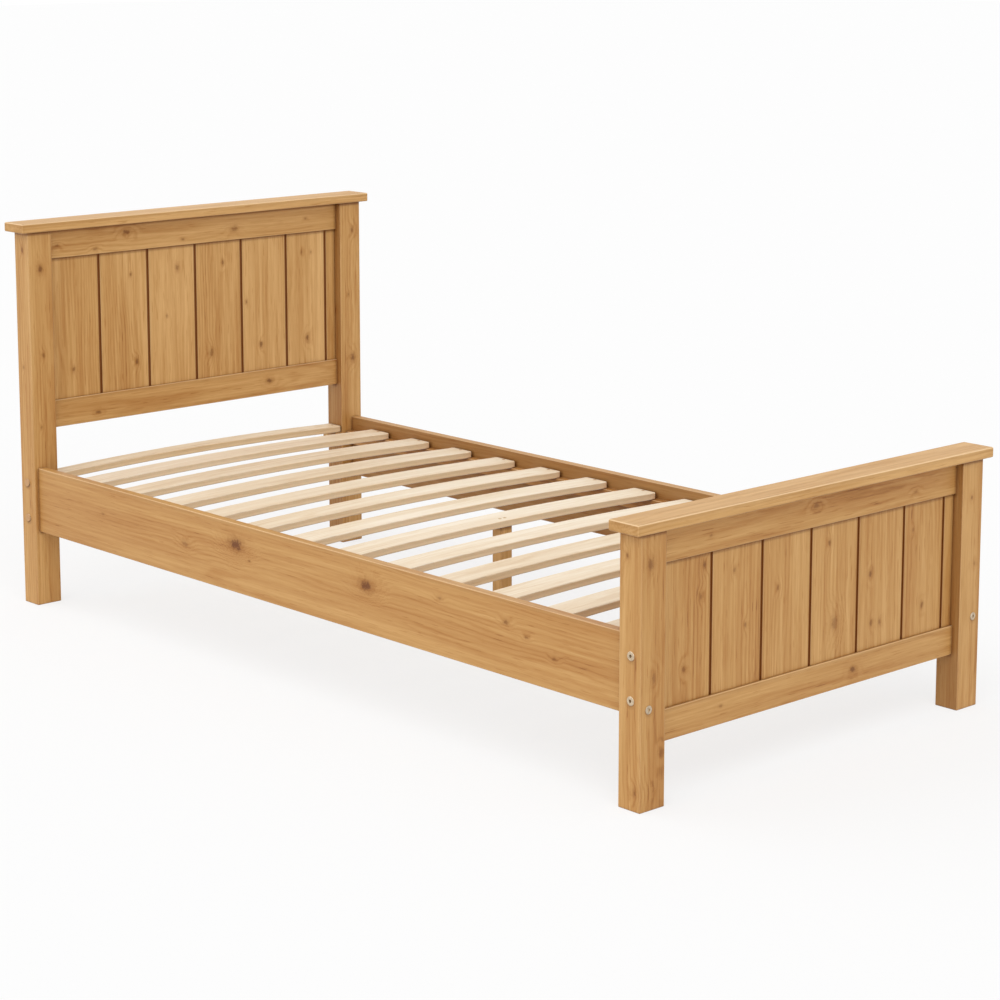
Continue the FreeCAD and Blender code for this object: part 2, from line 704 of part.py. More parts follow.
def bowed_outline(sketch, long):
    """The side of a sprung slat: a flat seat at each end and an arched middle."""
    seat, thick, bow = size("slat_seat"), size("slat_thick"), size("slat_bow")
    chord = long - 2 * seat
    radius = (chord * chord / 4 + bow * bow) / (2 * bow)
    corners = [(0, 0), (seat, 0), (long - seat, 0), (long, 0),
               (long, thick), (long - seat, thick), (seat, thick), (0, thick)]
    points = [Vector(number_of(u), number_of(v), 0) for u, v in corners]
    items = []
    for here, after in zip(range(8), [1, 2, 3, 4, 5, 6, 7, 0]):
        if here in (1, 5):
            crown = (points[here] + points[after]) / 2 + Vector(0, bow.number, 0)
            edge = Part.Arc(points[here], crown, points[after])
        else:
            edge = Part.LineSegment(points[here], points[after])
        items.append(sketch.addGeometry(edge, False))
    bottom_arc, top_arc = items[1], items[5]
    # an arc is kept anticlockwise, so both arcs run from right to left
    joins = [(0, END, 1, END), (1, START, 2, START), (2, END, 3, START), (3, END, 4, START),
             (4, END, 5, START), (5, END, 6, START), (6, END, 7, START), (7, END, 0, START)]
    for first, first_end, second, second_end in joins:
        constrain(sketch, "Coincident", items[first], first_end, items[second], second_end)
    measure(sketch, "Radius", bottom_arc, radius)
    constrain(sketch, "Equal", bottom_arc, top_arc)
    for item in (0, 2, 4, 6):
        constrain(sketch, "Horizontal", items[item])
    for item in (3, 7):
        constrain(sketch, "Vertical", items[item])
    pin(sketch, items[0], START, 0, 0)
    measure(sketch, "DistanceX", items[0], START, items[0], END, seat)
    measure(sketch, "DistanceX", items[2], START, items[2], END, seat)
    measure(sketch, "DistanceX", items[0], START, items[2], END, long)
    measure(sketch, "DistanceX", items[4], END, items[4], START, seat)
    measure(sketch, "DistanceX", items[6], END, items[6], START, seat)
    measure(sketch, "DistanceY", items[3], START, items[3], END, thick)


class Slat(Timber):
    """A bowed slat across the bed, screwed down through both seats."""

    def __init__(self, number):
        end_y = head_slat_end_y if number == 1 else slat_end_y
        wide = slat_width(number)
        super().__init__("slat_%02d" % number, (slat_front_x(number) - wide, -end_y, ledger_top),
                         (wide, 2 * end_y, size("slat_thick")))
        self.round_edges("Z", size("slat_corner_round"))
        dress(self.body, "Fillet", lambda edge: not stands_up(edge), size("slat_round"))
        points = [(slat_middle_x(number), side * slat_screw_y(number)) for side in (LEFT, RIGHT)]
        self.screw_holes("+Z", points, size("slat_thick"))
        if number == LEG_SLAT:
            self.drill_for_leg()

    def make_blank(self):
        sketch = sketch_on(self.body, "X")
        bowed_outline(sketch, self.extent["Y"])
        pad(self.body, sketch, self.extent["X"])

    def drill_for_leg(self):
        """Two screws go down through the crown of this slat into the middle leg."""
        crown = size("slat_thick") + size("slat_bow")
        sketch = sketch_on(self.body, "Z", crown)
        own = [(self.inside("X", x), self.inside("Y", y)) for x, y in leg_screw_points()]
        circles(sketch, own, screw_head_hole)
        pocket(self.body, sketch, (screw_head_hole - screw_hole) / 2, False)
        sketch = sketch_on(self.body, "Z", crown)
        circles(sketch, own, screw_hole)
        pocket(self.body, sketch, crown, False)


def stands_up(edge):
    """True for an edge that rises straight up, between the top and the underside."""
    first, last = edge.Vertexes[0].Point, edge.Vertexes[-1].Point
    return abs(first.x - last.x) < 1e-4 and abs(first.y - last.y) < 1e-4


leg_x = slat_middle_x(LEG_SLAT) + size("leg_forward")
leg_top = ledger_top + size("slat_bow") - size("leg_seat_gap")


def leg_screw_points():
    half_spread = size("leg_screw_spread") / 2
    return [(leg_x, -half_spread), (leg_x, half_spread)]


def make_middle_leg():
    """The leg under the middle of the slats."""
    half = size("leg_side") / 2
    leg = Timber("middle_leg", (leg_x - half, -half, 0), (2 * half, 2 * half, leg_top))
    leg.round_edges("XYZ", size("leg_round"), lambda edge: lies_at(edge, "Z", leg_top))
    depth = size("leg_screw_long") - size("slat_thick") + hole_room
    leg.drill("+Z", leg_screw_points(), screw_hole, depth)
    return leg


# ---------------------------------------------------------------- fittings

def wood_screw(label, length):
    """A countersunk screw with a cross recess. Its head's face is at the bottom."""
    head, shank, point = size("screw_head_across"), size("screw_across"), size("screw_point_long")
    sink = (head - shank) / 2
    outline = [(0, 0), (head / 2, 0), (shank / 2, sink), (shank / 2, length - point), (0, length)]
    body = turned(label, outline)
    recess_long, recess_wide = size("screw_recess_long"), size("screw_recess_wide")
    for wide, high in ((recess_long, recess_wide), (recess_wide, recess_long)):
        sketch = sketch_on(body, "Z")
        centred_rectangle(sketch, wide, high)
        pocket(body, sketch, size("screw_recess_deep"), True)
    return body


def socket_head_bolt(label):
    """A corner bolt with a wide flat head and a hexagon socket. Its head is at the bottom."""
    head, shank = size("bolt_head_across"), size("corner_bolt_across")
    thick = size("bolt_head_thick")
    tip = thick + size("corner_bolt_long")
    head_bevel, tip_bevel = size("bolt_head_bevel"), size("bolt_tip_bevel")
    outline = [(0, 0), (head / 2 - head_bevel, 0), (head / 2, head_bevel), (head / 2, thick),
               (shank / 2, thick), (shank / 2, tip - tip_bevel), (shank / 2 - tip_bevel, tip),
               (0, tip)]
    body = turned(label, outline)
    sketch = sketch_on(body, "Z")
    hexagon(sketch, size("bolt_socket"))
    pocket(body, sketch, size("bolt_socket_deep"), True)
    return body


def cam_bolt(label):
    """The bolt that a cam pulls on. Its head is at the bottom and its thread at the top."""
    head, neck = size("cam_bolt_head_across"), size("cam_bolt_neck_across")
    shank = size("cam_bolt_across")
    head_long = size("cam_bolt_head_long")
    shoulder = head_long + size("cam_bolt_neck_long")
    tip = size("cam_from_rail") + size("cam_bolt_head_long") / 2 + size("cam_bolt_grip")
    outline = [(0, 0), (head / 2, 0), (head / 2, head_long), (neck / 2, head_long),
               (neck / 2, shoulder), (shank / 2, shoulder), (shank / 2, tip), (0, tip)]
    return turned(label, outline)


def cam(label):
    """A cam that lies along Z, with its flange and socket at the bottom. The way in for the
    bolt's head is at the depth of the middle of the side rail."""
    across, rim = size("cam_across"), size("cam_rim")
    flange, flange_thick = size("cam_flange_across"), size("cam_flange_thick")
    tip = flange_thick + size("cam_long")
    outline = [(0, 0), (flange / 2 - rim, 0), (flange / 2, rim), (flange / 2, flange_thick),
               (across / 2, flange_thick), (across / 2, tip), (0, tip)]
    body = turned(label, outline)
    sketch = sketch_on(body, "Z")
    hexagon(sketch, size("cam_socket"))
    pocket(body, sketch, size("cam_socket_deep"), True)
    sketch = sketch_on(body, "X", -(cam_head_hole / 2))
    circles(sketch, [(0, cam_face_y - rail_middle_y)], cam_head_hole)
    pocket(body, sketch, across, True)
    return body


def cam_cover(label):
    """A cap that hides a cam. Its face is at the bottom, and its stem goes into the socket."""
    across, thick, bevel = size("cover_across"), size("cover_thick"), size("cover_bevel")
    stem, tip = size("cover_stem_across"), thick + size("cover_stem_long")
    outline = [(0, 0), (across / 2 - bevel, 0), (across / 2, bevel), (across / 2, thick),
               (stem / 2, thick), (stem / 2, tip), (0, tip)]
    return turned(label, outline)


def barrel_nut(label):
    """A barrel that lies along Z, with a cross hole for the corner bolt. Its outer end, at
    the bottom, is just under the inner face of the side rail."""
    across, bevel = size("barrel_across"), size("barrel_bevel")
    outline = [(0, 0), (across / 2 - bevel, 0), (across / 2, bevel),
               (across / 2, barrel_long), (0, barrel_long)]
    body = turned(label, outline)
    sketch = sketch_on(body, "X", -across)
    circles(sketch, [(0, rail_middle_y - rail_inner_y - size("barrel_deeper"))],
            corner_bolt_hole)
    pocket(body, sketch, 2 * across, True)
    return body


def dowel(label, length):
    """A round wooden dowel with bevelled ends."""
    across, bevel = size("dowel_across"), size("dowel_bevel")
    outline = [(0, 0), (across / 2 - bevel, 0), (across / 2, bevel),
               (across / 2, length - bevel), (across / 2 - bevel, length), (0, length)]
    return turned(label, outline)


def placed(pattern, point, axis, spin=0):
    """A copy of a pattern piece, with its own Z turned to an axis."""
    where = Vector(*[number_of(value) for value in point])
    turn = Rotation(AXES["Z"], Vector(*axis)).multiply(Rotation(AXES["Z"], spin))
    shape = pattern.Shape.copy()
    shape.Placement = Placement(where, turn)
    return shape


def group(label, shapes):
    """Equal fasteners that share one node, each a solid of its own."""
    feature = doc.addObject("Part::Feature", label)
    feature.Label = label
    feature.Shape = Part.makeCompound(shapes)
    SUB_PARTS.append(feature)


CORNERS = [(end, side) for end in (HEAD, FOOT) for side in (LEFT, RIGHT)]


def make_corner_fittings():
    cam_pattern, bolt_pattern = cam("cam_pattern"), cam_bolt("cam_bolt_pattern")
    corner_pattern = socket_head_bolt("corner_bolt_pattern")
    barrel_pattern, cover_pattern = barrel_nut("barrel_nut_pattern"), cam_cover("cover_pattern")
    cams, covers, cam_bolts, corner_bolts, barrels = [], [], [], [], []
    bolt_start = cam_x + size("cam_bolt_head_long") / 2
    for end, side in CORNERS:
        for height in cam_heights:
            face = (end * cam_x, side * cam_face_y, height)
            cams.append(cam_facing(cam_pattern, face, end, side))
            if end == HEAD:
                cover_face = (end * cam_x, side * (cam_face_y + size("cover_thick")), height)
                covers.append(placed(cover_pattern, cover_face, (0, -side, 0)))
            start = (end * bolt_start, side * rail_middle_y, height)
            cam_bolts.append(placed(bolt_pattern, start, (-end, 0, 0)))
        head_x = end * (post_outer_x + size("bolt_head_proud"))
        head = (head_x, side * rail_middle_y, corner_bolt_z)
        corner_bolts.append(placed(corner_pattern, head, (-end, 0, 0)))
        barrel_y = side * (rail_inner_y + size("barrel_deeper"))
        barrel = (end * barrel_x, barrel_y, corner_bolt_z)
        barrels.append(placed(barrel_pattern, barrel, (0, side, 0)))
    group("cams", cams)
    group("cam_covers", covers)
    group("cam_bolts", cam_bolts)
    group("corner_bolts", corner_bolts)
    group("barrel_nuts", barrels)


def cam_facing(pattern, point, end, side):
    """A cam set in from the outer side of a post, with its way in towards the side rail."""
    inward = Rotation(AXES["Z"], Vector(0, -side, 0))
    way_in = inward.multVec(AXES["X"])
    spin = 0 if way_in.x * end < 0 else 180
    return placed(pattern, point, (0, -side, 0), spin)


def make_dowels():
    rail_dowel = dowel("rail_dowel_pattern", size("dowel_long"))
    cap_dowel = dowel("cap_dowel_pattern", size("cap_dowel_long"))
    in_caps = []
    for frame in (HEADBOARD, FOOTBOARD):
        in_rails = []
        for side in (LEFT, RIGHT):
            start = side * (post_inner_y - size("dowel_long") / 2)
            for height in frame.top_dowels + frame.low_dowels:
                in_rails.append(placed(rail_dowel, (frame.middle_x, start, height), (0, side, 0)))
        group(frame.name + "_rail_dowels", in_rails)
        top = frame.cap_under + size("cap_dowel_in_cap")
        for x, y in cap_dowel_points(frame):
            in_caps.append(placed(cap_dowel, (x, y, top), (0, 0, -1)))
    group("cap_dowels", in_caps)


def make_screws():
    ledger_screw = wood_screw("ledger_screw_pattern", size("ledger_screw_long"))
    slat_screw = wood_screw("slat_screw_pattern", size("slat_screw_long"))
    leg_screw = wood_screw("leg_screw_pattern", size("leg_screw_long"))
    in_ledgers, in_cleats, in_slats = [], [], []
    for side in (LEFT, RIGHT):
        for place in ledger_screw_places():
            point = (place, side * ledger_inner_y, ledger_screw_z())
            in_ledgers.append(placed(ledger_screw, point, (0, side, 0)))
        for x, z in cleat_screw_points():
            in_cleats.append(placed(ledger_screw, (x, side * cleat_inner_y, z), (0, side, 0)))
        for number in range(1, SLAT_COUNT + 1):
            point = (slat_middle_x(number), side * slat_screw_y(number), slat_end_top)
            in_slats.append(placed(slat_screw, point, (0, 0, -1)))
    group("ledger_screws", in_ledgers)
    group("cleat_screws", in_cleats)
    group("slat_screws", in_slats)
    crown = slat_end_top + size("slat_bow") - hole_room
    group("leg_screws", [placed(leg_screw, (x, y, crown), (0, 0, -1))
                         for x, y in leg_screw_points()])


# ---------------------------------------------------------------- the whole bed

make_end_frame(HEADBOARD)
make_end_frame(FOOTBOARD)
for side in (LEFT, RIGHT):
    make_side_rail(side)
    make_ledger(side)
    make_cleat(side)
for number in range(1, SLAT_COUNT + 1):
    Slat(number)
make_middle_leg()
make_corner_fittings()
make_dowels()
make_screws()
doc.recompute()

for thing in doc.Objects:
    require_valid(thing)
for part in SUB_PARTS:
    if part.Shape.isNull() or not part.Shape.isValid():
        raise RuntimeError(part.Label + " has no valid shape")
for part in SUB_PARTS:
    part.Shape.exportStep("parts/%s.step" % part.Label)
print("%d sub-parts written" % len(SUB_PARTS))
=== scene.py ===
# %% [markdown]
# A single panel bed in waxed pine.
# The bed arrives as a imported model, one mesh for each piece of timber and each kind of fitting,
# at its real size in metres. X runs from the headboard to the footboard, Y runs across the bed
# and Z is up from the floor. The shapes are finished when they come in, so this script makes no
# piece and moves none. It gives them their wood and metal, and sets the light and the camera.

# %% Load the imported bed
import math
import random

import bpy
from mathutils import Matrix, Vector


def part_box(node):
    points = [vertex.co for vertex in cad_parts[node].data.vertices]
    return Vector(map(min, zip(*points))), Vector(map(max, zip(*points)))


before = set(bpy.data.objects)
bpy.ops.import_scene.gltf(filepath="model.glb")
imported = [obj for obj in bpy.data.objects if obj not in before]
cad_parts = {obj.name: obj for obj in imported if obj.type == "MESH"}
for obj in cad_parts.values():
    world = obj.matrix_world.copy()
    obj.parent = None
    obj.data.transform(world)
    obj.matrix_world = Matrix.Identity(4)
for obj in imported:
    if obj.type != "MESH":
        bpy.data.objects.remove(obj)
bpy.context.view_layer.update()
print("pieces of the bed:", len(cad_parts))

MM = 0.001

# %% [markdown]
# A material is a graph of nodes. Long sums are hard to read as a list of nodes and links, so
# one small class stands for a node's output and lets Python's own signs add the Math nodes.

# %% Sums written as sums
class Field:
    """A value that changes over a surface: the output of one node of a graph."""

    def __init__(self, graph, socket):
        self.graph = graph
        self.socket = socket

    def math(self, operation, first, second=0.0):
        return self.graph.node("ShaderNodeMath", {"operation": operation},
                               {0: first, 1: second})

    def __add__(self, other):
        return self.math("ADD", self, other)

    def __radd__(self, other):
        return self.math("ADD", other, self)

    def __sub__(self, other):
        return self.math("SUBTRACT", self, other)

    def __rsub__(self, other):
        return self.math("SUBTRACT", other, self)

    def __mul__(self, other):
        return self.math("MULTIPLY", self, other)

    def __rmul__(self, other):
        return self.math("MULTIPLY", other, self)

    def __truediv__(self, other):
        return self.math("DIVIDE", self, other)

    def __pow__(self, other):
        return self.math("POWER", self, other)

    def sine(self):
        return self.math("SINE", self)

    def size(self):
        return self.math("ABSOLUTE", self)

    def at_least(self, other):
        return self.math("MAXIMUM", self, other)

    def at_most(self, other):
        return self.math("MINIMUM", self, other)


print("signs that add nodes: + - * / **")

# %% [markdown]
# Everything else comes from one method, which sets a node's settings before its sockets, because
# a setting can change which sockets there are. The short methods after it name the few kinds of
# node that the wood and the metal are made of, so that the recipes further down read like recipes.

# %% Graphs and finishes
class Graph:
    """A tree of shader nodes, put together node by node."""

    def __init__(self, tree):
        self.tree = tree
        self.tree.nodes.clear()

    def node(self, kind, settings, inputs, output=0):
        made = self.tree.nodes.new(kind)
        for name, value in settings.items():
            if name == "stops":
                set_stops(made.color_ramp, value)
            else:
                setattr(made, name, value)
        for socket, value in inputs.items():
            if isinstance(value, Field):
                self.tree.links.new(value.socket, made.inputs[socket])
            else:
                made.inputs[socket].default_value = value
        return Field(self, made.outputs[output]) if len(made.outputs) else None

    def object_place(self):
        """The three coordinates of a point on the bed, in metres."""
        place = self.node("ShaderNodeTexCoord", {}, {}, "Object")
        return [self.part(place, axis) for axis in range(3)]

    def point(self, x, y, z=0.0):
        return self.node("ShaderNodeCombineXYZ", {}, {0: x, 1: y, 2: z})

    def noise(self, where, detail=2.0, roughness=0.5):
        """Cloudy noise from about 0.25 to 0.75, with cells one unit across."""
        return self.node("ShaderNodeTexNoise", {"noise_dimensions": "3D"},
                         {"Vector": where, "Scale": 1.0, "Detail": detail,
                          "Roughness": roughness})

    def fade(self, value, empty, full):
        """0 where the value is at empty, 1 where it is at full, and smooth between them."""
        return self.node("ShaderNodeMapRange", {"interpolation_type": "SMOOTHSTEP"},
                         {"Value": value, "From Min": empty, "From Max": full})

    def distance(self, where, centre):
        return self.node("ShaderNodeVectorMath", {"operation": "DISTANCE"},
                         {0: where, 1: centre}, "Value")

    def ramp(self, value, stops):
        return self.node("ShaderNodeValToRGB", {"stops": stops}, {0: value})

    def mix(self, factor, first, second):
        return self.node("ShaderNodeMix", {"data_type": "RGBA"},
                         {0: factor, 6: first, 7: second}, 2)

    def part(self, vector, axis):
        """One of the three numbers of a vector."""
        return self.node("ShaderNodeSeparateXYZ", {}, {0: vector}, axis)

    def ray(self, kind):
        """1 where a surface is met by this kind of ray, and 0 elsewhere."""
        return self.node("ShaderNodeLightPath", {}, {}, kind)


class Finish(Graph):
    """A material, and the graph that it is made of."""

    def __init__(self, name):
        self.material = bpy.data.materials.new(name)
        self.material.use_nodes = True
        super().__init__(self.material.node_tree)

    def surface(self, inputs, bump=None, bump_depth=0.0):
        """Closes the material. A bump height of 1 stands out by the bump's depth in metres."""
        if bump is not None:
            inputs["Normal"] = self.node("ShaderNodeBump", {},
                                         {"Height": bump, "Distance": bump_depth})
        shader = self.node("ShaderNodeBsdfPrincipled", {}, inputs)
        self.node("ShaderNodeOutputMaterial", {}, {"Surface": shader})
        return self.material


def set_stops(ramp, stops):
    """Gives a colour ramp its stops: a place from 0 to 1, and a colour."""
    while len(ramp.elements) < len(stops):
        ramp.elements.new(1.0)
    for element, (place, colour) in zip(ramp.elements, stops):
        element.position = place
        element.color = colour


def linear(red, green, blue):
    """A colour as read from a screen, 0 to 255, turned into the light that it stands for."""
    light = [(part / 255 / 12.92) if part <= 10 else ((part / 255 + 0.055) / 1.055) ** 2.4
             for part in (red, green, blue)]
    return (*light, 1.0)


print("a mid honey tone in light:", [round(part, 3) for part in linear(190, 146, 96)[:3]])

# %% [markdown]
# Waxed pine runs from pale straw in the spring wood to a burnt honey in the late wood, so one
# ramp of five tones can colour the whole figure. The slats are bare wood and get a paler ramp.
# Corners and grooves get painted shade, darker and warmer than the wood round them, and knots
# are darker and warmer too. Edges are paler, from wear and a painted highlight. Each of those has
# a colour of its own, because only darkening the wood would leave its hue as it was, and the darks
# would look too grey.

# %% Tones of the wood
HONEY_TONES = [(0.0, linear(229, 188, 129)), (0.3, linear(208, 163, 104)),
               (0.5, linear(192, 145, 85)), (0.72, linear(175, 122, 63)),
               (1.0, linear(126, 75, 30))]
PALE_TONES = [(0.0, linear(252, 243, 227)), (0.4, linear(235, 216, 188)),
              (0.75, linear(218, 190, 153)), (1.0, linear(182, 144, 102))]
KNOT_BROWN = linear(140, 84, 22)
KNOT_DARK = linear(96, 44, 0)
KNOT_HALO = linear(158, 102, 40)
# Painted shade: the brown of corners and of the faces that look inward.
PAINTED_SHADE_BROWN = linear(100, 50, 2)
# Painted shade in the grooves between the boards.
GROOVE_SHADE = linear(114, 58, 0)
# Painted shade on the slats' steep sides.
SIDE_SHADE_TAN = linear(226, 192, 146)
END_GRAIN = linear(150, 104, 60)
# Wear and a painted highlight on the edges.
WORN_EDGE_AND_HIGHLIGHT = linear(244, 214, 172)
SATIN = {"Coat Roughness": 0.4, "IOR": 1.46, "Specular IOR Level": 0.3}
WAX = 0.12
print("tones of honey pine:", len(HONEY_TONES))

# %% [markdown]
# Wood has a direction, so every recipe below starts from where the grain runs. A sawn timber is
# longest along its grain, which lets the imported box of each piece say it: the axes are sorted by
# size, and the recipes speak of along, across and through instead of X, Y and Z.

# %% The piece of timber and its grain
class Board:
    """Where a piece of timber lies: its middle, its half sizes, and its axes in order of size.
    The grain runs along the longest one. A post or a side rail also looks inward, to +Y or -Y,
    and that face is painted darker than the others, as painted shade."""

    def __init__(self, node):
        low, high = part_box(node)
        self.middle = (low + high) / 2
        self.half = (high - low) / 2
        self.axes = sorted(range(3), key=lambda axis: -self.half[axis])
        at_side = "_post_" in node or node.startswith("side_rail")
        self.inward = -math.copysign(1, self.middle.y) if at_side else 0


def grain_axes(finish, board):
    """The coordinates along the grain, across the wide face and through the thickness."""
    place = finish.object_place()
    return [place[axis] - board.middle[axis] for axis in board.axes]


print("the grain of a side rail runs along axis", Board("side_rail_left").axes[0])

# %% [markdown]
# Hands and cloths thin the wax on a timber's corners first, and a thin pale line along an edge
# is much of what makes it look solid. The line is partly that wear and partly a painted highlight,
# which is stronger where the surface turns upward to the light. The line is found from the box of
# the piece: a point is on an edge when it lies close to two of the box's faces at once, so the
# second smallest of the three distances says how near it is. A point in the middle of a face is
# close to one face only.

# %% Edges: wear and painted highlight
EDGE_LINE_REACH = 3.0 * MM
EDGE_LINE_FULL = 0.2 * MM


def edge_line(finish, board, grain):
    """1 at the piece's own corners and edges, and 0 further in than the pale line reaches."""
    inset = [board.half[axis] - value.size() for axis, value in zip(board.axes, grain)]
    nearer = inset[0].at_most(inset[1])
    farther = inset[0].at_least(inset[1])
    second_nearest = nearer.at_least(farther.at_most(inset[2]))
    return finish.fade(second_nearest, EDGE_LINE_REACH, EDGE_LINE_FULL)


print("edges are worn within", EDGE_LINE_REACH / MM, "mm")

# %% [markdown]
# A knot is where a branch left the trunk. It has a small dark heart, a brown rim of bark round
# it, and the rings of the trunk bend round both. All three come from one distance to the knot's
# middle, with a little noise added so that the outline isn't a circle. The grain is squeezed
# along its length before the distance is taken, which makes the knot longer along the board.

# %% Knots
KNOT_STRETCH = 0.6
KNOT_NOISE = 110.0
KNOT_ROUGHNESS = 1.3
SWIRL_REACH = 3.6
CORE_FADE = (0.85, 0.3)
BARK_FADE = (1.65, 0.6)


def knot_marks(finish, grain, knots, side_knots):
    """What the knots do: how far they push the rings, how dark their hearts and rims are.
    The reaches above are in radii of the knot."""
    along, across, through = grain
    rough_edge = finish.noise(finish.point(*(value * KNOT_NOISE for value in grain)),
                              detail=2.0, roughness=0.7) - 0.5
    swirl, halo, heart, rim = 0.0, 0.0, 0.0, 0.0
    for cross, marks in ((across, knots), (through, side_knots)):
        for place_along, place_across, radius, depth in marks:
            spot = finish.point(along * KNOT_STRETCH, cross)
            centre = (place_along * KNOT_STRETCH, place_across, 0.0)
            away = finish.distance(spot, centre) + rough_edge * (KNOT_ROUGHNESS * radius)
            push = finish.fade(away, SWIRL_REACH * radius, 0.0)
            swirl = swirl + push * ((0.9 + depth) * radius)
            halo = halo + push * depth
            core = finish.fade(away, CORE_FADE[0] * radius, CORE_FADE[1] * radius) * depth
            bark = finish.fade(away, BARK_FADE[0] * radius, BARK_FADE[1] * radius) * depth
            heart = core.at_least(heart)
            rim = bark.at_least(rim)
    return swirl, halo, heart, rim


print("a knot bends the rings within", SWIRL_REACH, "radii")

# %% [markdown]
# Pine is banded because each summer ends with a dark line of dense late wood. In a sawn piece
# those lines are slices through nested cones round the pith, so the honest way to draw them is
# in three dimensions: take the distance from a pith line that runs beside the piece, let noise
# bend it, and cut it into rings. The same rings then show as long streaks and arches on the
# faces and as arcs on the sawn ends. A knot's push is one more term in the same distance.

# %% Growth rings
RING = 6.5 * MM
RING_SHARPNESS = 2.2


def long_cells(finish, grain, dice):
    """Gives the maker of places for noise whose cells are drawn out along the grain."""
    along, across, through = grain
    drift = [dice.uniform(0.0, 9.0) for _ in range(3)]

    def cells(long_scale, cross_scale):
        return finish.point(along * long_scale + drift[0], across * cross_scale + drift[1],
                            through * cross_scale + drift[2])

    return cells


def late_wood(finish, board, grain, cells, dice, swirl):
    """1 in the dark lines of late wood and 0 in the spring wood, fainter in patches."""
    along, across, through = grain
    pith_across = dice.uniform(-0.9, 0.9) * board.half[board.axes[1]]
    pith_through = dice.choice((-1, 1)) * dice.uniform(40, 90) * MM
    lean = dice.uniform(-16, 16) * MM
    wander = (finish.noise(cells(1.6, 8.0), detail=2.0) - 0.5) * (38 * MM)
    wobble = (finish.noise(cells(10.0, 55.0), detail=3.0, roughness=0.6) - 0.5) * (7 * MM)
    radius_here = finish.distance(finish.point(0.0, across, through + along * lean),
                                  (0.0, pith_across, pith_through))
    rings = (radius_here + wander + wobble + swirl) / RING
    summer = (rings * math.tau).sine() * 0.5 + 0.5
    patch = finish.fade(finish.noise(cells(2.6, 14.0), detail=1.0), 0.36, 0.66)
    return summer ** RING_SHARPNESS * (patch * 0.8 + 0.2)


print("rings are", RING / MM, "mm apart")

# %% [markdown]
# Rings alone look printed. On a real board the stain takes unevenly, so broad bands, narrow
# columns, streaks and single fibres lie over each other. Each is the same stretched noise at
# another scale, and the weights say how much of the tone each one moves. Their sum goes through
# the ramp of tones, so everything stays a colour that this wood could have.

# %% Figure of the wood
MID_TONE = 0.44
HALO_TONE = 0.05


def wood_figure(finish, cells):
    """The bands, columns, streaks, fibres and dashes that lie over the rings."""
    broad = finish.noise(cells(0.9, 15.0), detail=2.0) - 0.5
    column = finish.noise(cells(1.9, 62.0), detail=2.0, roughness=0.6) - 0.5
    streak = finish.noise(cells(6.5, 230.0), detail=2.0, roughness=0.65) - 0.5
    fibre = finish.noise(cells(34.0, 1000.0), detail=1.0) - 0.5
    dash = finish.fade(finish.noise(cells(22.0, 420.0), detail=0.0), 0.70, 0.78)
    return broad, column, streak, fibre, dash


print("the middle of the ramp is at", MID_TONE)

# %% [markdown]
# Where two pieces meet, the wood is painted darker: painted shade. Whether a point is in such a
# corner can't be read from the piece alone, so an ambient occlusion node looks round it, 9 mm far.
# It looks along the surface's normal, turned upward a little: under a rail it then finds the rail
# and paints the wood darker, and above a ledge it finds open sky and leaves it light, as daylight
# would.

# %% Painted shade in the corners
CORNER_REACH = 9.0 * MM
CORNER_DEPTH = 1.25
SKY_TILT = 0.8


def corner_shade(finish, normal, colour):
    """Paints shade: darkens the colour where another piece stands close above it."""
    tilted = finish.node("ShaderNodeVectorMath", {"operation": "ADD"},
                         {0: normal, 1: (0.0, 0.0, SKY_TILT)})
    skyward = finish.node("ShaderNodeVectorMath", {"operation": "NORMALIZE"}, {0: tilted})
    open_sky = finish.node("ShaderNodeAmbientOcclusion", {"samples": 8},
                           {"Distance": CORNER_REACH, "Normal": skyward}, "AO")
    # Painted shade: the darker brown comes in where another piece is close above.
    return finish.mix((1.0 - open_sky) * CORNER_DEPTH, colour, PAINTED_SHADE_BROWN)


print("corners are stained within", CORNER_REACH / MM, "mm")

# %% [markdown]
# The recipe puts the parts together in the order in which a real board gets them: it grows, it
# is sawn, it is stained, and it wears. Painted shade goes on after that, and the pale edge line
# also carries a painted highlight. The late wood also stands out a little and shines less, so the
# same values that colour the wood feed its roughness and its bump. That keeps the shine in step
# with the figure, which a separate noise would not.

# %% Pine, sawn along any axis
GROOVE_DEPTHS = (0.1 * MM, 0.8 * MM)
# How much painted shade the inward faces get.
INNER_SHADE = 0.40
BUMP_DEPTH = 0.12 * MM


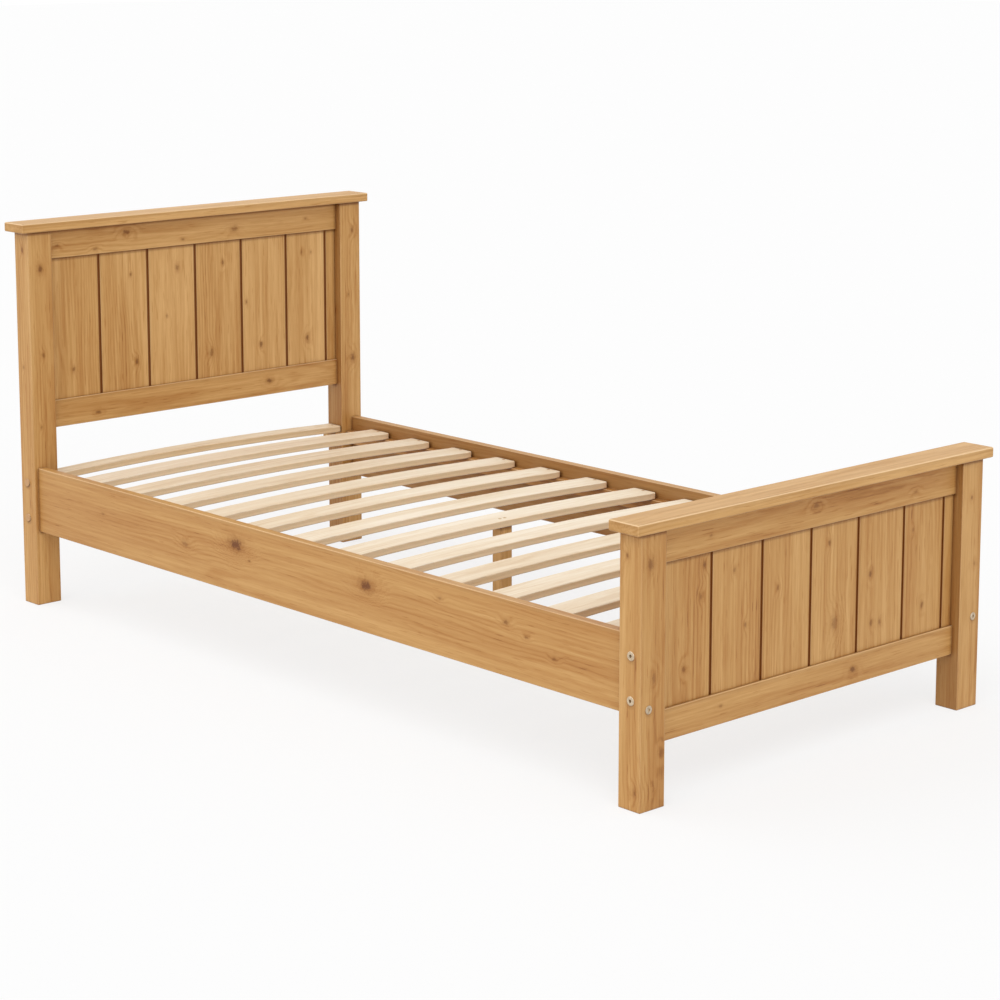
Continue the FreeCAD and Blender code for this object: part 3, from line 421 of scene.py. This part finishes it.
def pine(name, board, seed, tones, knots=(), side_knots=(), tone_shift=0.0, contrast=1.0,
         grooved=False, side_shade=0.0, edge_highlight=0.4, wax=WAX):
    """Sawn pine. A knot is (along, across, radius, depth of colour), in metres from the middle
    of the piece, on the wide face. A side knot is the same on the narrow face."""
    finish = Finish(name)
    dice = random.Random(seed)
    grain = grain_axes(finish, board)
    cells = long_cells(finish, grain, dice)
    swirl, halo, heart, rim = knot_marks(finish, grain, knots, side_knots)
    late = late_wood(finish, board, grain, cells, dice, swirl)
    broad, column, streak, fibre, dash = wood_figure(finish, cells)
    tone = (MID_TONE + tone_shift + halo * HALO_TONE
            + contrast * (late * 0.15 + broad * 0.46 + column * 0.62 + streak * 0.36
                          + fibre * 0.16 + dash * 0.18))
    colour = finish.ramp(tone, tones)

    normal = finish.node("ShaderNodeNewGeometry", {}, {}, "Normal")
    sawn_end = finish.fade(finish.part(normal, board.axes[0]).size(), 0.75, 0.95)
    colour = finish.mix(sawn_end * 0.30, colour, END_GRAIN)

    upward = finish.part(normal, 2)
    # Painted highlight on edges that turn upward, with a small even part from wear.
    worn_and_highlit = finish.fade(upward, 0.1, 0.5) * edge_highlight + 0.12
    colour = finish.mix(edge_line(finish, board, grain) * worn_and_highlit, colour, WORN_EDGE_AND_HIGHLIGHT)
    if knots or side_knots:
        colour = finish.mix(halo.at_most(1.0) * 0.18, colour, KNOT_HALO)
        colour = finish.mix(rim * 0.50, colour, KNOT_BROWN)
        colour = finish.mix(heart * 0.8, colour, KNOT_DARK)
    # Painted shade: the steep sides are painted browner than the tops.
    if side_shade:
        steep = finish.fade(upward.size(), 0.6, 0.2)
        colour = finish.mix(steep * side_shade, colour, SIDE_SHADE_TAN)
    # Painted shade on the faces that look in towards the mattress.
    if board.inward:
        looks_in = finish.part(normal, 1) * board.inward
        colour = finish.mix(finish.fade(looks_in, 0.5, 0.9) * INNER_SHADE, colour, PAINTED_SHADE_BROWN)
    # Painted shade where another piece stands close above.
    colour = corner_shade(finish, normal, colour)
    # Painted shade in the grooves between the boards.
    if grooved:
        depth = board.half[board.axes[2]] - grain[2].size()
        colour = finish.mix(finish.fade(depth, *GROOVE_DEPTHS) * 0.9, colour, GROOVE_SHADE)

    height = late * 0.3 + fibre * 0.45 + streak * 0.45 + heart * 0.4
    roughness = 0.48 + late * 0.06 + fibre * 0.10 + sawn_end * 0.2
    return finish.surface({"Base Color": colour, "Roughness": roughness,
                           "Coat Weight": (1.0 - sawn_end) * wax, **SATIN},
                          bump=height, bump_depth=BUMP_DEPTH)


def dress(node, material):
    """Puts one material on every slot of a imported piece."""
    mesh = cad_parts[node].data
    mesh.materials.clear()
    mesh.materials.append(material)


print("grooves are stained from", GROOVE_DEPTHS[0] / MM, "mm deep")

# %% [markdown]
# Each timber is its own piece of wood, so each has its own material with its own seed, and
# no two boards repeat. The knots that catch the eye in the real bed are listed where they lie,
# and every other part of the figure comes from the seed. A knot is written as two places, a
# radius and a depth of colour from 0 to 1. The places and the radius are in millimetres, the
# places measured on the bed: (z, y) on the end frames, (x, z) on the side rails, and (z, x) on
# the posts' outer sides.

# %% The knots that are seen, in millimetres on the bed
KNOTS = {
    "side_rail_left": [(-377, 249, 9, 0.35), (-196, 279, 16, 1.0), (234, 272, 14, 1.0),
                       (643, 280, 6, 0.6), (700, 262, 4, 0.5), (775, 236, 5, 0.6),
                       (-150, 252, 3, 0.6), (-690, 262, 4, 0.3), (455, 290, 5, 0.4)],
    "side_rail_right": [(-420, 228, 8, 0.8), (150, 268, 7, 0.8), (610, 240, 8, 0.7)],
    "head_top_rail": [(835, -401, 5, 0.5), (819, -295, 5, 0.45), (851, -206, 8, 0.7),
                      (821, -45, 4, 0.5), (834, 109, 8, 0.5), (842, 330, 4, 0.4)],
    "head_low_rail": [(432, -298, 5, 0.7), (446, 210, 7, 0.8)],
    "foot_top_rail": [(489, -1, 7, 0.5), (478, -292, 4, 0.35), (470, 298, 5, 0.35)],
    "foot_low_rail": [(145, 117, 7, 0.8), (150, -262, 4, 0.4)],
    "head_board_1": [(541, -360, 6, 0.6)],
    "head_board_2": [(539, -181, 6, 0.7), (749, -194, 4, 0.6)],
    "head_board_3": [(753, -59, 7, 0.5), (640, -92, 4, 0.4)],
    "head_board_4": [(535, 39, 8, 0.5), (753, 77, 5, 0.6)],
    "head_board_5": [(649, 146, 4, 0.6), (538, 190, 6, 0.7)],
    "head_board_6": [(758, 321, 4, 0.45), (539, 336, 7, 0.75), (755, 350, 4, 0.4)],
    "foot_board_1": [(424, -302, 6, 0.7), (237, -355, 6, 0.5), (366, -312, 5, 0.5)],
    "foot_board_2": [(290, -190, 4, 0.5), (400, -222, 5, 0.4)],
    "foot_board_3": [(345, -100, 5, 0.5)],
    "foot_board_4": [(407, 47, 5, 0.6), (247, 66, 12, 0.4)],
    "foot_board_5": [(325, 171, 6, 0.7), (223, 202, 6, 0.5), (226, 176, 5, 0.5)],
    "foot_board_6": [(233, 333, 6, 0.6), (392, 300, 4, 0.4)],
    "foot_post_left": [(456, -466, 10, 0.6), (246, -457, 8, 0.4), (104, -436, 6, 0.4)],
    "foot_post_right": [(438, 456, 4, 0.6), (300, 470, 4, 0.4)],
    "head_post_left": [(788, -459, 8, 0.8), (588, -456, 5, 0.6), (420, -466, 4, 0.4)],
    "head_post_right": [(477, 464, 8, 0.75), (804, 465, 6, 0.6), (640, 452, 4, 0.4)],
}
SIDE_KNOTS = {
    "foot_post_left": [(36, 995, 6, 0.6), (470, 972, 4, 0.6)],
    "head_post_left": [(833, -976, 6, 0.6), (560, -984, 4, 0.4)],
    "foot_post_right": [(330, 970, 6, 0.7)],
    "head_post_right": [(600, -975, 6, 0.7)],
}


def on_board(board, marks, cross):
    """Knots given on the bed, as places from the middle of their own timber."""
    long_axis, cross_axis = board.axes[0], board.axes[cross]
    placed = []
    for first, second, radius, depth in marks:
        spot = {max(long_axis, cross_axis): first, min(long_axis, cross_axis): second}
        placed.append((spot[long_axis] * MM - board.middle[long_axis],
                       spot[cross_axis] * MM - board.middle[cross_axis], radius * MM, depth))
    return placed


def knots_of(node, board):
    """A side rail's knots are given as (x, z), and all the others' as (z, y) or (z, x)."""
    if node.startswith("side_rail"):
        marks = [(z, x, radius, depth) for x, z, radius, depth in KNOTS[node]]
    else:
        marks = KNOTS.get(node, [])
    side_marks = SIDE_KNOTS.get(node, [])
    return on_board(board, marks, 1), on_board(board, side_marks, 2)


print("timbers with knots set by hand:", len(KNOTS))

# %% [markdown]
# The timbers of one bed come from many trees, so each gets a small random shift of tone. On top
# of that, each kind of piece has a shift of its own, which was found by comparing its tone with
# the photograph. It makes up for how the light falls as well as for the wood, so it isn't a
# measure of the stain. Higher is darker. The side rails look quieter than the rest, so their
# figure has less contrast, and the caps get more painted highlight along their upper edges.

# %% Honey pine on every framing timber
TIMBERS = [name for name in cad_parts
           if name.split("_")[0] in ("head", "foot", "side", "middle")
           and "dowels" not in name and "slat_" not in name]
LEDGERS = ["slat_ledger_left", "slat_ledger_right"]
FIRST_TIMBER_SEED = 11
TIMBER_SPREAD = 0.03
RAIL_CONTRAST = 0.8
# How much painted highlight the upward edges of the caps and of the other timbers get.
CAP_EDGE_HIGHLIGHT = 0.8
TIMBER_EDGE_HIGHLIGHT = 0.3

PIECE_SHIFTS = {"head_board": -0.03, "head_top_rail": 0.02, "head_low_rail": 0.06,
                "foot_top_rail": 0.06, "foot_low_rail": 0.08, "head_cap": -0.06,
                "foot_cap": -0.07, "foot_board": 0.06, "head_post": 0.04, "foot_post": 0.10,
                "side_rail": 0.10, "slat_ledger": 0.26}

for seed, node in enumerate(sorted(TIMBERS) + LEDGERS, start=FIRST_TIMBER_SEED):
    timber = Board(node)
    knots, side_knots = knots_of(node, timber)
    shift = random.Random(seed).uniform(-TIMBER_SPREAD, TIMBER_SPREAD)
    shift += sum(value for stem, value in PIECE_SHIFTS.items() if node.startswith(stem))
    dress(node, pine("pine_" + node, timber, seed, HONEY_TONES, knots, side_knots,
                     tone_shift=shift, grooved="_board_" in node,
                     contrast=RAIL_CONTRAST if node.startswith("side_rail") else 1.0,
                     edge_highlight=CAP_EDGE_HIGHLIGHT if node.endswith("_cap") else TIMBER_EDGE_HIGHLIGHT))
print("honey pine on", len(TIMBERS) + len(LEDGERS), "timbers")

# %% [markdown]
# The slats are planed and left bare, so they are pale and quiet: the same wood, drawn with
# paler tones, a little less contrast and no wax. Their sides are painted browner than their tops,
# as painted shade. The slat between the head posts is darker than the others in the photograph,
# so it has a shift of its own.

# %% Pale pine on the slats
SLATS = sorted(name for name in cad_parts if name.startswith("slat_") and name[-1].isdigit())
FIRST_SLAT_SEED = 131
SLAT_SPREAD = (-0.14, 0.02)
HEAD_SLAT_SHIFT = 0.22
SLAT_CONTRAST = 0.9
# How much painted shade the slats' sides get.
SLAT_SIDE_SHADE = 0.6

for seed, node in enumerate(SLATS, start=FIRST_SLAT_SEED):
    shift = random.Random(seed).uniform(*SLAT_SPREAD)
    if node == "slat_01":
        shift = HEAD_SLAT_SHIFT
    dress(node, pine("pale_pine_" + node, Board(node), seed, PALE_TONES, tone_shift=shift,
                     contrast=SLAT_CONTRAST, side_shade=SLAT_SIDE_SHADE, wax=0.0))
print("pale pine on", len(SLATS), "slats")

# %% [markdown]
# Dowels are bare beech: short dark rays on a pinkish ground. They sit inside the joints, but a
# reusable model may be taken apart, so they get their wood too. Cams and bolts are plated metal,
# never an even grey, so a cloudy noise moves both their tone and their polish. The head posts'
# cams wear moulded covers in the colour of the wood.

# %% Beech, zinc, steel and the cover caps
def beech(name):
    finish = Finish(name)
    x, y, z = finish.object_place()
    grain = finish.noise(finish.point(x * 300.0, y * 60.0, z * 300.0), detail=3.0)
    rays = finish.fade(finish.noise(finish.point(x * 900.0, y * 260.0, z * 900.0)), 0.58, 0.66)
    colour = finish.ramp(grain, [(0.25, linear(206, 166, 124)), (0.75, linear(182, 138, 96))])
    colour = finish.mix(rays * 0.5, colour, linear(140, 96, 62))
    return finish.surface({"Base Color": colour, "Roughness": 0.6 + grain * 0.1},
                          bump=grain, bump_depth=0.1 * MM)


def plated_metal(name, light, dark, roughness, grain_size):
    """Metal with a soft uneven polish, duller in patches, and fine rubbed marks."""
    finish = Finish(name)
    x, y, z = finish.object_place()
    cloud = finish.noise(finish.point(x / grain_size, y / grain_size, z / grain_size),
                         detail=4.0, roughness=0.65)
    marks = finish.noise(finish.point(x * 2600.0, y * 2600.0, z * 300.0), detail=1.0)
    colour = finish.ramp(cloud, [(0.3, dark), (0.7, light)])
    return finish.surface({"Base Color": colour, "Metallic": 1.0,
                           "Roughness": roughness + cloud * 0.18 + marks * 0.08},
                          bump=cloud * 0.6 + marks * 0.4, bump_depth=0.05 * MM)


def cover_plastic(name):
    """Moulded caps in a wood colour, with the faint grain that is pressed into them."""
    finish = Finish(name)
    x, y, z = finish.object_place()
    pressed = finish.noise(finish.point(x * 500.0, y * 500.0, z * 70.0), detail=2.0)
    colour = finish.ramp(pressed, [(0.3, linear(198, 154, 106)), (0.7, linear(176, 130, 82))])
    return finish.surface({"Base Color": colour, "Roughness": 0.46 + pressed * 0.1},
                          bump=pressed, bump_depth=0.08 * MM)


beech_wood = beech("bare_beech")
for node in ("head_rail_dowels", "foot_rail_dowels", "cap_dowels"):
    dress(node, beech_wood)
zinc = plated_metal("cast_zinc", linear(224, 206, 178), linear(180, 160, 134), 0.42, 4 * MM)
steel = plated_metal("plated_steel", linear(220, 203, 178), linear(176, 158, 134), 0.40, 6 * MM)
brass_plate = plated_metal("yellow_plate", linear(222, 190, 136), linear(186, 148, 92), 0.34,
                           3 * MM)
dress("cams", zinc)
dress("cam_covers", cover_plastic("wood_coloured_plastic"))
for node in ("cam_bolts", "corner_bolts", "barrel_nuts"):
    dress(node, steel)
for node in ("ledger_screws", "cleat_screws", "slat_screws", "leg_screws"):
    dress(node, brass_plate)
print("materials:", len(bpy.data.materials))

# %% [markdown]
# The bed is shown on a plain pale floor that runs on past the edge of the picture. Paint alone
# would turn grey away from the light, so the floor also glows, but only where the camera or the
# metal looks at it. For every other ray it stays paint, and takes a real shadow from the bed.

# %% Floor
FLOOR_SIDE = 70.0
FLOOR_WHITE = 0.86
FLOOR_GLOW = 0.72
WHITE = (1.0, 1.0, 1.0, 1.0)

bpy.ops.mesh.primitive_plane_add(size=FLOOR_SIDE, location=(0, 0, 0))
floor = bpy.context.active_object
floor.name = "floor"
floor_finish = Finish("pale_floor")
paint = floor_finish.node("ShaderNodeBsdfDiffuse", {},
                          {"Color": (FLOOR_WHITE, FLOOR_WHITE, FLOOR_WHITE, 1.0)})
glow = floor_finish.node("ShaderNodeEmission", {}, {"Color": WHITE, "Strength": 1.0})
looked_at = floor_finish.ray("Is Camera Ray").at_least(floor_finish.ray("Is Glossy Ray"))
both = floor_finish.node("ShaderNodeMixShader", {}, {0: looked_at * FLOOR_GLOW, 1: paint, 2: glow})
floor_finish.node("ShaderNodeOutputMaterial", {}, {"Surface": both})
floor.data.materials.append(floor_finish.material)
print("floor is", FLOOR_SIDE, "m wide")

# %% [markdown]
# The sky is white where the camera and the metal look at it, and dimmer where it only lights the
# bed. One brightness for both would either wash out the wood or leave the backdrop grey.

# %% Sky
SKY_LIGHT = 0.62

sky = bpy.data.worlds.new("pale_sky")
bpy.context.scene.world = sky
sky.use_nodes = True
heaven = Graph(sky.node_tree)
seen = heaven.ray("Is Camera Ray").at_least(heaven.ray("Is Glossy Ray"))
seen = seen.at_least(heaven.ray("Is Transmission Ray"))
lit = heaven.node("ShaderNodeBackground", {}, {"Color": WHITE, "Strength": SKY_LIGHT})
backdrop = heaven.node("ShaderNodeBackground", {}, {"Color": WHITE, "Strength": 1.0})
either = heaven.node("ShaderNodeMixShader", {}, {0: seen, 1: lit, 2: backdrop})
heaven.node("ShaderNodeOutputWorld", {}, {"Surface": either})
print("sky light:", SKY_LIGHT)

# %% [markdown]
# Wide, soft suns light every part of a large floor alike, which small lamps wouldn't, so the
# floor stays an even white and keeps a soft shadow under the bed. The key sun stands high, off
# the near long side and a little towards the foot end. The fill sun comes from behind the
# headboard, on the near side, and the low sun from the foot end, close to the floor's level.
# Each is written as its name, its turn and its tilt in degrees, its strength, and the width of
# its disc in degrees, which is what softens the shadows.

# %% Suns
SUNS = [("key_sun", 34.0, 38.0, 1.25, 60.0), ("fill_sun", -62.0, 60.0, 0.75, 70.0),
        ("low_sun", 72.0, 76.0, 0.50, 50.0)]

for name, turn, tilt, strength, softness in SUNS:
    bpy.ops.object.light_add(type="SUN", location=(0, 0, 4),
                             rotation=(math.radians(tilt), 0, math.radians(turn)))
    sun = bpy.context.active_object
    sun.name = name
    sun.data.energy = strength
    sun.data.angle = math.radians(softness)
print("suns:", len(SUNS))

# %% [markdown]
# The camera stands where the photograph was taken from: off the foot end, a little above the
# bed, looking along the rails to the headboard. Its frame is shifted down a little, as a view
# camera's is, so the posts stay nearly upright in the picture.

# %% Camera
CAMERA_PLACE = (4.169, -3.738, 1.598)
CAMERA_HEADING = 137.39
CAMERA_DIP = 9.457
LENS_MM = 94.92
SENSOR_MM = 36.0
FRAME_SHIFT = -0.15

bpy.ops.object.camera_add(location=CAMERA_PLACE,
                          rotation=(math.radians(90.0 - CAMERA_DIP), 0.0,
                                    math.radians(CAMERA_HEADING - 90.0)))
camera = bpy.context.active_object
camera.data.sensor_width = SENSOR_MM
camera.data.lens = LENS_MM
camera.data.shift_y = FRAME_SHIFT
camera.data.clip_end = 200.0
bpy.context.scene.camera = camera
bpy.context.scene.view_settings.view_transform = "Standard"
print("lens:", LENS_MM, "mm")
